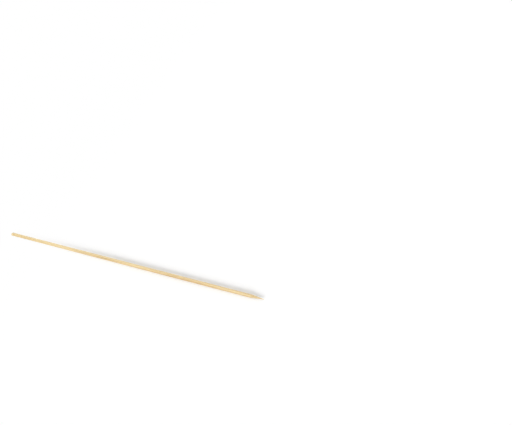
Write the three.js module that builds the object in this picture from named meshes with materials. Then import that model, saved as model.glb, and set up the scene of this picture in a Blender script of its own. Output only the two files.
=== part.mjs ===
// Bamboo skewer: one straight round stick, cut square at its blunt end and ground to a point at the other.
// Millimetres, +Z up. The stick lies along +X, with the middle of its blunt end at the origin.
// It is a single turned form, so one half outline is revolved round the stick's axis.
import * as THREE from "three";

// Driving dimensions
const stickLength = 250; // blunt end to tip
const stickDiameter = 3; // of the round stock that comes out of the knives
const buttEdgeRadius = 0.25; // edge round the blunt end, eased by tumbling
const pointLength = 12; // ground point, from where it cuts into the stock to the tip
const shoulderRadius = 20; // soft run of the stock into the ground point
const tipRadius = 0.2; // tip, blunted by tumbling

// Smoothness of the faceted solid
const sidesAround = 48;
const stepsPerQuarter = 6; // of the two small arcs, and of the shallow one at the shoulder

// Finish of clean, uncoated bamboo
const bambooColour = 0xe2cb9c;
const bambooRoughness = 0.58;

const stickRadius = stickDiameter / 2;
const quarterTurn = Math.PI / 2;

// Half angle of the ground cone. Its side touches the ball of the tip and, carried on past the soft shoulder,
// meets the side of the stock at pointLength from the tip.
function pointHalfAngle() {
  const cornerToBall = pointLength - tipRadius;
  const cornerDistance = Math.hypot(stickRadius, cornerToBall);
  return Math.acos(tipRadius / cornerDistance) - Math.atan2(cornerToBall, stickRadius);
}

// Adds an arc to a half outline, from one direction to another, measured from straight out of the axis.
function addArc(outline, centreRadius, centreAlong, arcRadius, from, to) {
  const arc = new THREE.EllipseCurve(centreRadius, centreAlong, arcRadius, arcRadius, from, to);
  for (const point of arc.getPoints(stepsPerQuarter)) {
    outline.push(point);
  }
}

// Blunt end: a flat sawn face with an eased edge that turns into the side of the stock.
function addButt(outline) {
  outline.push(new THREE.Vector2(0, 0));
  addArc(outline, stickRadius - buttEdgeRadius, buttEdgeRadius, buttEdgeRadius, -quarterTurn, 0);
}

// Ground point: the side of the stock leans into the cone along a long soft arc, and the cone ends in a small ball.
function addPoint(outline) {
  const halfAngle = pointHalfAngle();
  const cornerAlong = stickLength - pointLength;
  const shoulderAlong = cornerAlong - shoulderRadius * Math.tan(halfAngle / 2);
  addArc(outline, stickRadius - shoulderRadius, shoulderAlong, shoulderRadius, 0, halfAngle);
  addArc(outline, 0, stickLength - tipRadius, tipRadius, halfAngle, quarterTurn);
  outline.at(-1).x = 0; // exactly on the axis, so that the tip closes
}

// Half outline from the middle of the blunt end to the tip: x is the distance from the axis, y the way along it.
function stickOutline() {
  const outline = [];
  addButt(outline);
  addPoint(outline);
  return outline;
}

// The stick: its outline revolved round the lathe's upright axis, then laid down along +X.
function bambooStick() {
  const geometry = new THREE.LatheGeometry(stickOutline(), sidesAround);
  const material = new THREE.MeshStandardMaterial({
    color: bambooColour,
    roughness: bambooRoughness,
    metalness: 0,
  });
  const stick = new THREE.Mesh(geometry, material);
  stick.name = "bamboo_stick";
  stick.rotation.z = -quarterTurn;
  return stick;
}

const skewer = new THREE.Group();
skewer.name = "bamboo_skewer";
skewer.add(bambooStick());

export default skewer;
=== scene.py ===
# %% [markdown]
# This script dresses one bamboo skewer: a round stick, cut off square at one end and ground to a point at
# the other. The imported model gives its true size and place. Here it gets what the eye finds up close: the
# grain of the bamboo, the marks of the knives, the saw and the grinding belt, and the light of a plain
# product picture. The order is a maker's: take the measures, turn the stick, raise the grain, unroll the
# skin, finish the wood, and then set up the table, the lamps and the camera.

# %% Load the frame
import math

import bpy
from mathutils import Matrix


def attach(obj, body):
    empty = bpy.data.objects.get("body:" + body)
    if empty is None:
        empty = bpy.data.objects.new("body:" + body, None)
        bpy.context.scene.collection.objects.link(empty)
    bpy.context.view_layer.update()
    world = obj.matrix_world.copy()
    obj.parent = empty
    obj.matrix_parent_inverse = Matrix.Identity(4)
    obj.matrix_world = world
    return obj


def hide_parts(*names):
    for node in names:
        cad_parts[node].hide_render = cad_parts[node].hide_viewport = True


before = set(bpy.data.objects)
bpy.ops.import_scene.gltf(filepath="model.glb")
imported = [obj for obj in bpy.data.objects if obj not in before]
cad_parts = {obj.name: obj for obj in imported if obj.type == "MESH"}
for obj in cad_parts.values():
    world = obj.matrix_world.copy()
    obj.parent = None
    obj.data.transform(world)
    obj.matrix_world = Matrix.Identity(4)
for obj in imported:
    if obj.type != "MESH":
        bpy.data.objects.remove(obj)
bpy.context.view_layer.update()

MM = 0.001


def in_mm(lengths):
    """Lengths in metres as rounded millimetres, to print."""
    return [round(length / MM, 3) for length in lengths]


# %% [markdown]
# The CAD stick is turned with few, long facets. Its half outline says how far along each ring of vertices
# lies and how wide it is, and that is all a finer stick needs. It could be typed in again here, but then
# the two could part when a size changes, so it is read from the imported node.

# %% Read the stick's half outline
SAME_RING = 0.002 * MM
STILL_FULL_WIDTH = 0.9999


def half_outline(node):
    """(place along X, radius) of each ring of a node turned about X, from the blunt end to the tip."""
    rings = []
    for vertex in sorted(node.data.vertices, key=lambda vertex: vertex.co.x):
        radius = math.hypot(vertex.co.y, vertex.co.z)
        if rings and vertex.co.x - rings[-1][0] < SAME_RING:
            rings[-1] = (rings[-1][0], max(rings[-1][1], radius))
        else:
            rings.append((vertex.co.x, radius))
    return rings


outline = half_outline(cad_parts["bamboo_stick"])
STICK_LENGTH = outline[-1][0]
STICK_RADIUS = max(radius for along, radius in outline)
outline[-1] = (STICK_LENGTH, 0.0)
SHOULDER = max(along for along, radius in outline if radius > STILL_FULL_WIDTH * STICK_RADIUS)
print("rings:", len(outline), "length and radius in mm:", in_mm((STICK_LENGTH, STICK_RADIUS)))
print("the ground point starts at mm:", round(SHOULDER / MM, 2))

# %% [markdown]
# A stick like this could be a cylinder with one end scaled down, but its eased edge, its soft shoulder and
# the small ball at its tip would then need work of their own. Extruding one ring along the outline makes
# them all in the same way: the ring moves to the next place, and then it is scaled to the radius there. The
# long plain side is first taken in eight steps, which lets a single Subdivide cut each of them into a
# hundred.

# %% Extrude a ring along the outline
AROUND = 96
SIDE_STEPS = 8
LONG_STRETCH = 0.5 * STICK_LENGTH


def with_steps(rings, longest, count):
    """The same outline, with each stretch longer than a length split into equal steps."""
    stations = [rings[0]]
    for (start, first), (end, last) in zip(rings, rings[1:]):
        steps = count if end - start > longest else 1
        for step in range(1, steps + 1):
            share = step / steps
            stations.append((start + (end - start) * share, first + (last - first) * share))
    return stations


bpy.ops.object.select_all(action="DESELECT")
bpy.ops.mesh.primitive_circle_add(vertices=AROUND, radius=outline[0][1], rotation=(0, math.pi / 2, 0))
stick = bpy.context.active_object
stick.name = "skewer_stick"
bpy.ops.object.transform_apply(location=True, rotation=True, scale=True)

bpy.ops.object.mode_set(mode="EDIT")
bpy.ops.mesh.select_all(action="SELECT")
stations = with_steps(outline, LONG_STRETCH, SIDE_STEPS)
for (along, radius), (next_along, next_radius) in zip(stations, stations[1:]):
    bpy.ops.mesh.extrude_edges_move(TRANSFORM_OT_translate={"value": (next_along - along, 0, 0)})
    scale = next_radius / radius
    bpy.ops.transform.resize(value=(1, scale, scale), center_override=(next_along, 0, 0))
bpy.ops.mesh.merge(type="CENTER")
bpy.ops.object.mode_set(mode="OBJECT")
print("extruded rings:", len(stations), "vertices:", len(stick.data.vertices))

# %% [markdown]
# The blunt end is still open. Grid Fill closes it with small even squares, where a plain cap would put all
# its faces in a fan and leave nothing for the end grain to stand on. The side and the ground point are then
# cut across, by a Subdivide of the edges that run along them alone.

# %% Close the blunt end and cut the long stretches
CAP_SPAN = AROUND // 4
SIDE_CUTS = 99
POINT_CUTS = 53
DOUBLES = 0.1 * SAME_RING
SMOOTH_BELOW = 40.0


def select_edges(piece, wanted):
    """In edge mode, selects the edges whose two ends, as vectors, pass a test."""
    bpy.ops.object.select_all(action="DESELECT")
    piece.select_set(True)
    bpy.context.view_layer.objects.active = piece
    bpy.ops.object.mode_set(mode="EDIT")
    bpy.ops.mesh.select_mode(type="EDGE")
    bpy.ops.mesh.select_all(action="DESELECT")
    bpy.ops.object.mode_set(mode="OBJECT")
    places = piece.data.vertices
    for edge in piece.data.edges:
        first, last = edge.vertices
        edge.select = wanted(places[first].co, places[last].co)
    bpy.ops.object.mode_set(mode="EDIT")


select_edges(stick, lambda a, b: max(a.x, b.x) < SAME_RING)
bpy.ops.mesh.fill_grid(span=CAP_SPAN)
bpy.ops.object.mode_set(mode="OBJECT")

side_step = STICK_LENGTH / SIDE_STEPS
select_edges(stick, lambda a, b: abs(a.x - b.x) > side_step / 2)
bpy.ops.mesh.subdivide(number_cuts=SIDE_CUTS)
bpy.ops.object.mode_set(mode="OBJECT")

point_step = STICK_LENGTH - SHOULDER
select_edges(stick, lambda a, b: abs(a.x - b.x) > point_step / 2)
bpy.ops.mesh.subdivide(number_cuts=POINT_CUTS)
bpy.ops.mesh.select_all(action="SELECT")
bpy.ops.mesh.remove_doubles(threshold=DOUBLES)
bpy.ops.mesh.normals_make_consistent(inside=False)
bpy.ops.object.mode_set(mode="OBJECT")
bpy.ops.object.shade_smooth_by_angle(angle=math.radians(SMOOTH_BELOW))
stick.data.calc_loop_triangles()
print("triangles:", len(stick.data.loop_triangles))

# %% [markdown]
# The grain is one and the same thing in the shape and in the colour: hard fibre bundles run the length of
# the stick through soft pale tissue. Two kinds of node tree need it, the one that raises the surface and
# the one that colours it, so both get their nodes from one small function, which adds a node with its
# settings and links. An input goes by its name, or by its number where several have the same name. The tree
# of the relief comes first, and it starts from the place of each vertex.

# %% A helper that adds a node, and the tree of the relief
def add(tree, kind, inputs=None, **settings):
    """Adds a node to a tree, sets its properties, and gives its inputs values or links from other sockets."""
    node = tree.nodes.new(kind)
    for name, value in settings.items():
        setattr(node, name, value)
    for name, value in (inputs or {}).items():
        if isinstance(value, bpy.types.NodeSocket):
            tree.links.new(value, node.inputs[name])
        else:
            node.inputs[name].default_value = value
    return node


relief = bpy.data.node_groups.new("raised_grain", "GeometryNodeTree")
relief.interface.new_socket("Geometry", in_out="INPUT", socket_type="NodeSocketGeometry")
relief.interface.new_socket("Geometry", in_out="OUTPUT", socket_type="NodeSocketGeometry")
place = add(relief, "GeometryNodeInputPosition").outputs["Position"]
print("the relief starts from:", place.name)

# %% [markdown]
# Bamboo is a grass. A stick cut from it shows in cross section about two dozen dark dots, the fibre
# bundles, half a millimetre apart, small and close towards the outside of the culm and larger and sparser
# inside. Each has an open vessel in its middle. A flat pattern of Voronoi cells across the stick is that
# cross section, and reading it without the place along the stick makes every dot run on as a bundle does.
# The stick is never cut quite along the grain, so the pattern leans a quarter of a degree and wanders a
# little: bundles then come to the surface, run along it for some centimetres as a line, and sink again. On
# the ground point the same lines are cut across at a slant and turn into long flames, and on the blunt end
# they are dots. The pattern is also turned, so that the side that faced the outside of the culm lies on the
# -Y side. Vector Rotate does that, because Mapping isn't there for shapes.

# %% The grain of bamboo as a solid, in millimetres
BUNDLE_SPACING = 0.52
BUNDLE_EDGE = (0.40, 0.20)
VESSEL_EDGE = (0.13, 0.07)
SCATTER = 0.8
# OUTSIDE_TURN puts the browner culm side on the lower side towards the camera, so that its brown is also
# painted shade there.
OUTSIDE_TURN = math.radians(-80)
LEAN = (OUTSIDE_TURN, 0.0042, -0.0035)
WANDER = 0.22
WANDER_SIZE = (45.0, 5.0, 5.0)
OUTSIDE_CROWDING = 0.14


def bamboo_grain(tree, place):
    """Sockets for a place in metres: the place in mm along the grain, with Z towards the outside of the
    culm, how much it is bundle or open vessel (0 to 1), and a tone that each bundle has for itself."""
    mm = add(tree, "ShaderNodeVectorMath", {"Vector": place, "Scale": 1 / MM}, operation="SCALE").outputs[0]
    slow = add(tree, "ShaderNodeVectorMath", {0: mm, 1: WANDER_SIZE}, operation="DIVIDE").outputs[0]
    drift = add(tree, "ShaderNodeTexNoise", {"Vector": slow, "Scale": 1.0, "Detail": 1.0}).outputs["Color"]
    shift = add(tree, "ShaderNodeVectorMath", {
        0: drift,
        1: (0, WANDER, WANDER),
        2: (0, -WANDER / 2, -WANDER / 2),
    }, operation="MULTIPLY_ADD").outputs[0]
    leaning = add(tree, "ShaderNodeVectorRotate", {"Vector": mm, "Rotation": LEAN},
                  rotation_type="EULER_XYZ").outputs[0]
    grain = add(tree, "ShaderNodeVectorMath", {0: leaning, 1: shift}, operation="ADD").outputs[0]
    parts = add(tree, "ShaderNodeSeparateXYZ", {"Vector": grain}).outputs
    crowding = add(tree, "ShaderNodeMath", {0: parts["Z"], 1: OUTSIDE_CROWDING, 2: 1.0},
                   operation="MULTIPLY_ADD").outputs[0]
    outward = add(tree, "ShaderNodeMath", {0: parts["Z"], 1: crowding}, operation="MULTIPLY").outputs[0]
    section = add(tree, "ShaderNodeCombineXYZ", {"X": parts["Y"], "Y": outward}).outputs[0]
    cells = add(tree, "ShaderNodeTexVoronoi", {
        "Vector": section,
        "Scale": 1 / BUNDLE_SPACING,
        "Randomness": SCATTER,
    }, voronoi_dimensions="2D").outputs
    bundle, vessel = [
        add(tree, "ShaderNodeMapRange", {"Value": cells["Distance"], "From Min": outer, "From Max": inner},
            interpolation_type="SMOOTHSTEP").outputs["Result"]
        for outer, inner in (BUNDLE_EDGE, VESSEL_EDGE)
    ]
    tone = add(tree, "ShaderNodeSeparateXYZ", {"Vector": cells["Color"]}).outputs["X"]
    return grain, bundle, vessel, tone


grain, bundle, vessel, tone = bamboo_grain(relief, place)
print("bundles in a cross section, about:", round(math.pi * (STICK_RADIUS / MM / BUNDLE_SPACING) ** 2))

# %% [markdown]
# Everything else that varies on the stick is a noise of its own size, long along the grain and narrow
# across it, or short and wide for the rings of the belt and the lines of the saw. Only the ground point has
# the rings and only the blunt end has the lines. Depths, tones and gloss are each a sum of several such
# things, every one with its own weight.

# %% Streaks, the cut places and sums
POINT_FADE = 2.5 * MM
BUTT_FADE = 0.1 * MM


def streaks(tree, grain, size, detail=2.0, low=0.0, high=1.0):
    """Noise in blotches of a size in mm: along the grain, sideways and outwards. It is 0 up to low and 1
    from high on."""
    stretched = add(tree, "ShaderNodeVectorMath", {0: grain, 1: size}, operation="DIVIDE").outputs[0]
    noise = add(tree, "ShaderNodeTexNoise", {"Vector": stretched, "Scale": 1.0, "Detail": detail})
    ramp = add(tree, "ShaderNodeMapRange", {"Value": noise.outputs["Fac"], "From Min": low, "From Max": high})
    return ramp.outputs["Result"]


def cut_places(tree, place):
    """How much a place in metres is on the ground point and how much on the sawn end, each from 0 to 1."""
    along = add(tree, "ShaderNodeSeparateXYZ", {"Vector": place}).outputs["X"]
    return [
        add(tree, "ShaderNodeMapRange", {"Value": along, "From Min": start, "From Max": end},
            interpolation_type="SMOOTHSTEP").outputs["Result"]
        for start, end in ((SHOULDER, SHOULDER + POINT_FADE), (BUTT_FADE, 0.0))
    ]


def weighed_sum(tree, terms, total=0.0):
    """A number plus each socket times its weight. A term may have two sockets, which are multiplied."""
    for *sockets, weight in terms:
        value = sockets[0]
        if len(sockets) == 2:
            value = add(tree, "ShaderNodeMath", {0: value, 1: sockets[1]}, operation="MULTIPLY").outputs[0]
        total = add(tree, "ShaderNodeMath", {0: value, 1: weight, 2: total},
                    operation="MULTIPLY_ADD").outputs[0]
    return total


on_point, on_butt = cut_places(relief, place)
print("belt rings from mm:", round(SHOULDER / MM, 2), "saw lines up to mm:", round(BUTT_FADE / MM, 2))

# %% [markdown]
# The knives and the tumbling drum take the soft tissue down a little further than the hard bundles, an open
# vessel leaves a fine groove, and slow swellings keep the stick from being perfectly round. All of it is
# only hundredths of a millimetre deep.

# %% Measure how deep each place is cut, in millimetres
SWELLINGS = {"size": (90.0, 2.2, 2.2), "detail": 0.0}
RAISED_FIBRES = {"size": (9.0, 0.22, 0.22)}
BELT_RINGS = {"size": (0.35, 1.6, 1.6)}
SAW_LINES = {"size": (1.0, 2.0, 0.25)}
SWELLING_DEPTH = 0.030
SOFT_DEPTH = 0.014
FIBRE_DEPTH = 0.010
VESSEL_DEPTH = 0.035
BELT_DEPTH = 0.014
SAW_DEPTH = 0.030
LEAST_DEPTH = 0.012

soft = add(relief, "ShaderNodeMath", {0: 1.0, 1: bundle}, operation="SUBTRACT").outputs[0]
depth = weighed_sum(relief, [
    (streaks(relief, grain, **SWELLINGS), SWELLING_DEPTH),
    (soft, SOFT_DEPTH),
    (streaks(relief, grain, **RAISED_FIBRES), FIBRE_DEPTH),
    (vessel, VESSEL_DEPTH),
    (streaks(relief, grain, **BELT_RINGS), on_point, BELT_DEPTH),
    (streaks(relief, grain, **SAW_LINES), on_butt, SAW_DEPTH),
], total=-LEAST_DEPTH)
print("nodes that measure the depth:", len(relief.nodes))

# %% [markdown]
# A Geometry Nodes modifier turns the depth into a move against the normal. It reads the grain's own
# pattern, so the relief and the colour agree, and it never moves a vertex outwards, so the stick keeps its
# true size. Applied, it leaves a plain mesh whose vertices lie where the maker's tools would have left them.

# %% Raise the grain
shape_in = add(relief, "NodeGroupInput").outputs[0]
normal = add(relief, "GeometryNodeInputNormal").outputs["Normal"]
depth = add(relief, "ShaderNodeMath", {0: depth, 1: 0.0}, operation="MAXIMUM").outputs[0]
inwards = add(relief, "ShaderNodeMath", {0: depth, 1: -MM}, operation="MULTIPLY").outputs[0]
offset = add(relief, "ShaderNodeVectorMath", {"Vector": normal, "Scale": inwards},
             operation="SCALE").outputs[0]
moved = add(relief, "GeometryNodeSetPosition", {"Geometry": shape_in, "Offset": offset}).outputs["Geometry"]
add(relief, "NodeGroupOutput", {0: moved})

raise_grain = stick.modifiers.new("raised_grain", "NODES")
raise_grain.node_group = relief
bpy.ops.object.modifier_apply(modifier=raise_grain.name)
radii = [math.hypot(v.co.y, v.co.z) for v in stick.data.vertices if MM < v.co.x < SHOULDER]
print("least and most radius on the side in mm:", in_mm((min(radii), max(radii))))

# %% [markdown]
# Wood reads its place and needs no map, but whoever takes the model elsewhere gets its colours as a
# picture, and a picture has to be wrapped on. One strip 250 mm long and 9.4 mm wide would fill a sliver of
# a square picture, so the skin is unrolled as a cooper might lay out staves: cut into five lengths, side by
# side, with the disc of the blunt end in the margin beside them.

# %% Unroll the skin in five strips
STRIPS = 5
STRIP_WIDTH = 0.93
MARGIN = 0.006
CAP_CORNER = (0.94, 0.01)
CAP_SIZE = 0.05
FACES_BACK = -0.9


def unrolled(place, face_angle, strip):
    """Where a place on the side lies on the map, beside the middle of its face."""
    angle = math.atan2(place.z, place.y) if place.y or place.z else face_angle
    turn = (angle - face_angle + math.pi) % (2 * math.pi) - math.pi
    share_round = (face_angle + turn) / (2 * math.pi) + 0.5
    share_along = place.x / STICK_LENGTH * STRIPS - strip
    height = 1 / STRIPS - 2 * MARGIN
    return MARGIN + share_along * (STRIP_WIDTH - 2 * MARGIN), strip / STRIPS + MARGIN + share_round * height


def capped(place):
    """Where a place on the blunt end lies on the map."""
    return tuple(corner + (0.5 + side / STICK_RADIUS / 2) * CAP_SIZE
                 for corner, side in zip(CAP_CORNER, (place.y, place.z)))


skin = stick.data.uv_layers.new(name="OFBake")
places = stick.data.vertices
for face in stick.data.polygons:
    middle = face.center
    strip = min(int(middle.x / STICK_LENGTH * STRIPS), STRIPS - 1)
    face_angle = math.atan2(middle.z, middle.y)
    on_cap = face.normal.x < FACES_BACK
    for corner in face.loop_indices:
        spot = places[stick.data.loops[corner].vertex_index].co
        skin.data[corner].uv = capped(spot) if on_cap else unrolled(spot, face_angle, strip)
print("map:", skin.name, "strips:", STRIPS)

# %% [markdown]
# The wood is bare: no lacquer and no oil, only smooth from the drum. Clean bamboo is a pale straw colour
# with tan bundles, and the open vessels look brown because no light comes out of them. Colours are written
# as they are seen on a screen and turned linear by one function, with the numbers of the sRGB standard.

# %% Colours of bare bamboo
def linear(hex_colour):
    """Turns an sRGB hex colour into the linear numbers that shaders use."""
    shares = [int(hex_colour[i:i + 2], 16) / 255 for i in (1, 3, 5)]
    return tuple(s / 12.92 if s <= 0.04045 else ((s + 0.055) / 1.055) ** 2.4 for s in shares) + (1.0,)


STRAW_PALE = linear("#F8E7BA")
STRAW_WARM = linear("#EFD59C")
BUNDLE_LIGHT = linear("#E6CB94")
BUNDLE_DARK = linear("#CCA66C")
VESSEL_BROWN = linear("#8E6A3D")
# A glaze for stains and clouds, which also paints shade on the lower side towards the camera.
BROWNING_AND_SHADE_TINT = linear("#CEB48A")
SAWN_BROWN = linear("#BC945C")
print("pale straw, linear:", [round(share, 3) for share in STRAW_PALE])

# %% [markdown]
# One material covers the whole stick, because it is one piece of wood. It reads the same grain as the
# relief, and it has to know where it is: on the ground point, on the sawn end, how near the outside of the
# culm, where the wood is made browner, and how far along, because the stick is made darker towards its
# point. The outside of the culm lies on the lower side towards the camera, so its brown there is partly
# the culm's own and partly painted shade. The two ramps are in millimetres of the grain.

# %% Bare bamboo, tumbled smooth: the place on the stick
CULM_BROWN_AND_SHADE_RAMP = (-0.2, 1.4)
POINT_HALF = (70.0, 190.0)

bamboo = bpy.data.materials.new("bare_bamboo_tumbled")
bamboo.use_nodes = True
tree = bamboo.node_tree
tree.nodes.clear()
place = add(tree, "ShaderNodeTexCoord").outputs["Object"]
grain, bundle, vessel, tone = bamboo_grain(tree, place)
on_point, on_butt = cut_places(tree, place)
parts = add(tree, "ShaderNodeSeparateXYZ", {"Vector": grain}).outputs
# The culm side ramp is browner wood and painted shade on the lower side towards the camera.
culm_brown_and_shade, point_half = [
    add(tree, "ShaderNodeMapRange", {"Value": value, "From Min": start, "From Max": end},
        interpolation_type="SMOOTHSTEP").outputs["Result"]
    for value, (start, end) in ((parts["Z"], CULM_BROWN_AND_SHADE_RAMP), (parts["X"], POINT_HALF))
]
print("nodes that tell the place:", len(tree.nodes))

# %% [markdown]
# What the tumbled skin shows comes in streaks: fibres a tenth of a millimetre wide in the soft tissue, the
# stretches where a vessel happens to be open, the scratches of the saw, and stains and wide clouds from
# age. Stains, clouds, the outside of the culm, whose brown on the lower side towards the camera is also
# painted shade, and a darkening towards the point add up to how brown it is.

# %% Bare bamboo, tumbled smooth: streaks, age and painted shade
FINE_FIBRES = {"size": (8.0, 0.11, 0.11), "detail": 5.0, "low": 0.36, "high": 0.68}
OPEN_STRETCHES = {"size": (13.0, 0.6, 0.6), "low": 0.36, "high": 0.62}
SAW_SCRATCHES = {"size": (1.0, 2.0, 0.12), "low": 0.45, "high": 0.75}
STAINS = {"size": (30.0, 0.9, 0.9), "low": 0.45, "high": 0.8}
CLOUDS = {"size": (55.0, 8.0, 8.0), "detail": 1.0, "low": 0.4, "high": 0.7}
STAIN_AGE = 0.20
CLOUD_AGE = 0.07
CULM_SIDE_BROWN_AND_SHADE = 0.32
CULM_SIDE_POINT_BROWN_AND_SHADE = 0.75
POINT_DARKENING = 0.18

fine = streaks(tree, grain, **FINE_FIBRES)
opened = streaks(tree, grain, **OPEN_STRETCHES)
scratches = streaks(tree, grain, **SAW_SCRATCHES)
browning_and_shade = weighed_sum(tree, [
    (streaks(tree, grain, **STAINS), STAIN_AGE),
    (streaks(tree, grain, **CLOUDS), CLOUD_AGE),
    # Painted shade: the culm side terms darken the lower side towards the camera, the most near the point.
    (culm_brown_and_shade, CULM_SIDE_BROWN_AND_SHADE),
    (culm_brown_and_shade, point_half, CULM_SIDE_POINT_BROWN_AND_SHADE),
    # A plain darkening towards the point.
    (point_half, POINT_DARKENING),
])
print("nodes with the streaks:", len(tree.nodes))

# %% [markdown]
# The colours are laid over one another in coats. The fibres come first, then the bundles, each with a tone
# of its own. Stains, clouds, the browner culm side with its painted shade and the darkening towards the
# point darken both alike, so they are a glaze, a colour that multiplies what lies under it and lets the
# fibres show. Last come the vessels, whose brown lines come and go as they open and close, and the saw and
# the belt, which leave the cut places a shade browner.

# %% Bare bamboo, tumbled smooth: colour
BUNDLE_COVER = 0.72
VESSEL_COVER = 1.0
BUTT_COVER = 0.25
POINT_COVER = 0.10
SCRATCH_COVER = 0.45


def coated(tree, ground, coats, blend="MIX"):
    """Lays colours over a ground colour, one after another. A coat is its share, 0 to 1, and its colour."""
    for share, colour in coats:
        ground = add(tree, "ShaderNodeMix", {"Factor": share, "A": ground, "B": colour}, data_type="RGBA",
                     blend_type=blend).outputs["Result"]
    return ground


bundle_colour = coated(tree, BUNDLE_LIGHT, [(tone, BUNDLE_DARK)])
clean_wood = coated(tree, STRAW_PALE, [
    (fine, STRAW_WARM),
    (weighed_sum(tree, [(bundle, BUNDLE_COVER)]), bundle_colour),
])
browned_and_shaded_wood = coated(tree, clean_wood, [(browning_and_shade, BROWNING_AND_SHADE_TINT)], blend="MULTIPLY")
sawn = weighed_sum(tree, [
    (on_butt, BUTT_COVER),
    (on_point, POINT_COVER),
    (scratches, on_butt, SCRATCH_COVER),
])
wood = coated(tree, browned_and_shaded_wood, [
    (weighed_sum(tree, [(vessel, opened, VESSEL_COVER)]), VESSEL_BROWN),
    (sawn, SAWN_BROWN),
])
print("nodes with the colours:", len(tree.nodes))

# %% [markdown]
# Bare bamboo is about as smooth as paper, a satin that gets duller where it is sawn or ground, and the hard
# bundles shine a little more than the tissue between them. Fibres and tool marks that are finer than the
# mesh are left to a bump of about a hundredth of a millimetre.

# %% Bare bamboo, tumbled smooth: gloss and fine marks
WOOD_IOR = 1.5
SATIN = 0.50
FIBRES_DULLER = 0.06
POINT_DULLER = 0.08
BUTT_DULLER = 0.20
BUNDLES_GLOSSIER = -0.07
BELT_SCRATCHES = {"size": (0.12, 0.8, 0.8)}
FIBRES_RAISED = 0.4
BELT_RAISED = 1.6
SAW_SUNK = -1.2
MARK_DEPTH = 0.012 * MM

roughness = weighed_sum(tree, [
    (fine, FIBRES_DULLER),
    (on_point, POINT_DULLER),
    (on_butt, BUTT_DULLER),
    (bundle, BUNDLES_GLOSSIER),
], total=SATIN)
height = weighed_sum(tree, [
    (fine, FIBRES_RAISED),
    (streaks(tree, grain, **BELT_SCRATCHES), on_point, BELT_RAISED),
    (scratches, on_butt, SAW_SUNK),
])
bump = add(tree, "ShaderNodeBump", {"Height": height, "Distance": MARK_DEPTH, "Strength": 1.0})
surface = add(tree, "ShaderNodeBsdfPrincipled", {
    "Base Color": wood,
    "Roughness": roughness,
    "IOR": WOOD_IOR,
    "Normal": bump.outputs["Normal"],
}).outputs["BSDF"]
add(tree, "ShaderNodeOutputMaterial", {"Surface": surface})
stick.data.materials.clear()
stick.data.materials.append(bamboo)
print("nodes in the bamboo:", len(tree.nodes))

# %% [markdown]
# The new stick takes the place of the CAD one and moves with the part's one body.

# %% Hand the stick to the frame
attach(stick, "root")
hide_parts("bamboo_stick")
print("stick rides on root and stands for bamboo_stick")

# %% [markdown]
# The skewer lies on a white table without an edge in sight, which keeps its shadow. In a picture made for a
# shop the shadows are often washed out, here more and more towards the blunt end. So what the camera sees
# of the table is later mixed with a plain white, whose share is high at the blunt end and gone past the
# middle of the stick.

# %% Table, and where it is washed white
TABLE_SIZE = 8.0
WASH_AT_BUTT = 0.94
WASH_FADES = (0.06 * STICK_LENGTH, 0.53 * STICK_LENGTH)

bpy.ops.object.select_all(action="DESELECT")
bpy.ops.mesh.primitive_plane_add(size=TABLE_SIZE, location=(STICK_LENGTH / 2, 0, -STICK_RADIUS))
table = bpy.context.active_object
table.name = "white_table"
bpy.ops.object.transform_apply(location=True, rotation=True, scale=True)

white_card = bpy.data.materials.new("matt_white_card")
white_card.use_nodes = True
tree = white_card.node_tree
tree.nodes.clear()
spot = add(tree, "ShaderNodeTexCoord").outputs["Object"]
washed = add(tree, "ShaderNodeMapRange", {
    "Value": add(tree, "ShaderNodeSeparateXYZ", {"Vector": spot}).outputs["X"],
    "From Min": WASH_FADES[0],
    "From Max": WASH_FADES[1],
    "To Min": WASH_AT_BUTT,
    "To Max": 0.0,
}, interpolation_type="SMOOTHSTEP").outputs["Result"]
print("table at mm:", round(-STICK_RADIUS / MM, 3), "washed up to mm:", round(WASH_FADES[1] / MM, 1))

# %% [markdown]
# More light would make the table whiter, but it would bleach the wood as well. So the table and the room
# look white to the rays that show them, straight or in a gloss, and give less light to the wood than they
# look. That is a choice between two shaders, made by the kind of ray. White card gives back a little less
# than all the light on it, so a faint lift takes it up to white for the camera. For the wood it is darker
# still, because the shade that the stick throws on its own underside is the deeper the less light comes up
# from the table.

# %% White card
CARD_WHITE = linear("#FAFAFA")
CARD_BOUNCE = linear("#A8A8A8")
PLAIN_WHITE = linear("#FFFFFF")
CARD_LIFT = 0.06


def seen_directly(tree):
    """1 for rays that show a thing to the camera, plainly or in gloss or glass, and 0 for all others."""
    path = add(tree, "ShaderNodeLightPath").outputs
    seen = path["Is Camera Ray"]
    for kind in ("Is Glossy Ray", "Is Transmission Ray"):
        seen = add(tree, "ShaderNodeMath", {0: seen, 1: path[kind]}, operation="MAXIMUM").outputs[0]
    return seen


card = add(tree, "ShaderNodeBsdfDiffuse", {"Color": CARD_WHITE}).outputs["BSDF"]
lift = add(tree, "ShaderNodeEmission", {"Color": PLAIN_WHITE, "Strength": CARD_LIFT}).outputs["Emission"]
lifted = add(tree, "ShaderNodeAddShader", {0: card, 1: lift}).outputs[0]
wash = add(tree, "ShaderNodeEmission", {"Color": PLAIN_WHITE, "Strength": 1.0}).outputs["Emission"]
card_shown = add(tree, "ShaderNodeMixShader", {0: washed, 1: lifted, 2: wash}).outputs[0]
card_felt = add(tree, "ShaderNodeBsdfDiffuse", {"Color": CARD_BOUNCE}).outputs["BSDF"]
seen = seen_directly(tree)
card_face = add(tree, "ShaderNodeMixShader", {0: seen, 1: card_felt, 2: card_shown}).outputs[0]
add(tree, "ShaderNodeOutputMaterial", {"Surface": card_face})
table.data.materials.append(white_card)
print("nodes in the card:", len(tree.nodes))

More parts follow.
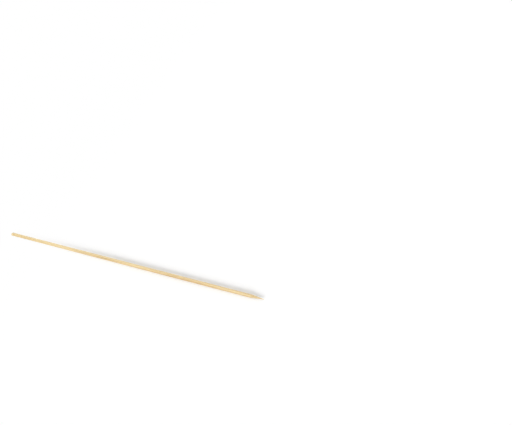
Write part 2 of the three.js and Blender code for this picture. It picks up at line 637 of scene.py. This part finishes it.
# %% [markdown]
# A lamp with a wide face gives the same light all over a large table only if it is far away, which is what
# a Sun with a wide angle is. The low one stands on the viewer's side, a little towards the blunt end so
# that the end grain gets light too, and lays the soft shadow behind the stick. The high one lights the top.
# The third is a fill from behind, which keeps the far side pale. It throws no shadow, because two shadows
# would look like two keys. With the room's, their shares add up to one on the table, so that a colour shows
# about as it is written.

# %% Lamps
LAMPS = (
    {"name": "low_key", "height": 27.0, "heading": 76.0, "angle": 28.0, "share": 0.38, "shadow": True},
    {"name": "high_top", "height": 72.0, "heading": -90.0, "angle": 60.0, "share": 0.21, "shadow": True},
    {"name": "back_fill", "height": 26.0, "heading": -74.0, "angle": 60.0, "share": 0.25, "shadow": False},
)


def sun(name, height, heading, angle, share, shadow):
    """A far soft lamp. Height is above the table and heading is where its light travels, in degrees; share
    is how much of the light on the table it gives, where a strength of pi from straight above is all."""
    light = bpy.data.lights.new(name, "SUN")
    light.angle = math.radians(angle)
    light.energy = share * math.pi / math.sin(math.radians(height))
    light.use_shadow = shadow
    lamp = bpy.data.objects.new(name, light)
    lamp.rotation_euler = (0, math.radians(90 - height), math.radians(heading + 180))
    bpy.context.scene.collection.objects.link(lamp)
    return lamp


for settings in LAMPS:
    lamp = sun(**settings)
    print(lamp.name, "strength", round(lamp.data.energy, 3))

# %% [markdown]
# The room is the same white on all sides. It shows as full white, and what it gives to the wood is the
# share of the light that the three lamps leave, which keeps the shaded side from going dark.

# %% Room
ROOM_SHARE = 1.0 - sum(settings["share"] for settings in LAMPS)

world = bpy.data.worlds.new("white_room")
bpy.context.scene.world = world
world.use_nodes = True
tree = world.node_tree
tree.nodes.clear()
room_felt = add(tree, "ShaderNodeBackground", {"Color": PLAIN_WHITE, "Strength": ROOM_SHARE}).outputs[0]
room_shown = add(tree, "ShaderNodeBackground", {"Color": PLAIN_WHITE, "Strength": 1.0}).outputs[0]
room = add(tree, "ShaderNodeMixShader", {0: seen_directly(tree), 1: room_felt, 2: room_shown}).outputs[0]
add(tree, "ShaderNodeOutputWorld", {"Surface": room})
print("share of the light from the room:", round(ROOM_SHARE, 3))

# %% [markdown]
# The camera stands over the point, on the side of the low lamp. It looks down at 57 degrees through a short
# lens, and the blunt end lies 35 mm deeper in its view than the point, so it looks a tenth thinner. Its
# place was found by matching the two ends of the stick to where the photograph has them.

# %% Camera
CAMERA_MM = (263.34, -77.82, 253.39)
LOOKS_DOWN = 56.6
HEADING = 104.699
FOCAL_PIXELS = 300.0
PICTURE_WIDTH = 512
SENSOR = 36.0
NEAREST_SEEN = 0.01
FARTHEST_SEEN = 20.0

view = bpy.data.cameras.new("camera")
view.sensor_width = SENSOR
view.lens = SENSOR * FOCAL_PIXELS / PICTURE_WIDTH
view.clip_start = NEAREST_SEEN
view.clip_end = FARTHEST_SEEN
camera = bpy.data.objects.new("camera", view)
camera.location = [side * MM for side in CAMERA_MM]
camera.rotation_euler = (math.radians(90 - LOOKS_DOWN), 0, math.radians(HEADING - 90))
bpy.context.scene.collection.objects.link(camera)
bpy.context.scene.camera = camera
bpy.context.scene.view_settings.view_transform = "Standard"
print("lens mm:", round(view.lens, 2))
